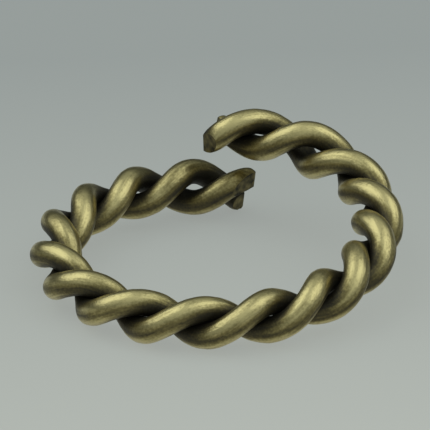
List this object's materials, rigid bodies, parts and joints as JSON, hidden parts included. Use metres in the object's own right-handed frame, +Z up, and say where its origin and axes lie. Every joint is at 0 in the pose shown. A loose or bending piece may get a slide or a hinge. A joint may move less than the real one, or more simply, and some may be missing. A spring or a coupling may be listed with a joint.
{
  "type": "twisted wire jump ring",
  "caption": "Open round jump ring made of two twisted round brass wires, with one snipped end raised above the other at the gap, and an antique finish.",
  "frame": {"origin": "middle of the ring's box on the flat surface that the ring lies on", "axes": "+Z up, away from the surface and close to the ring's own axis; +Y from the flex point at the front towards the two snipped ends at the back; +X to the right, where the coil climbs to the raised end"},
  "size_m": [0.015, 0.0154, 0.0047],
  "materials": {
    "antique_brass": "antiqued brass: darkened all over, then rubbed so that the crests are bright yellow-brown and the hollows stay nearly black"
  },
  "bodies": {
    "left_half": {"first_wire_left": "antique_brass", "second_wire_left": "antique_brass"},
    "right_half": {"first_wire_right": "antique_brass", "second_wire_right": "antique_brass"}
  },
  "joints": [
    {"name": "ring_opening", "type": "hinge", "parent": "left_half", "child": "right_half", "pos_m": [0.00003, -0.00661, 0.0011], "axis": [0.9963, -0.073, 0.0444], "range_deg": [-2, 30]}
  ]
}
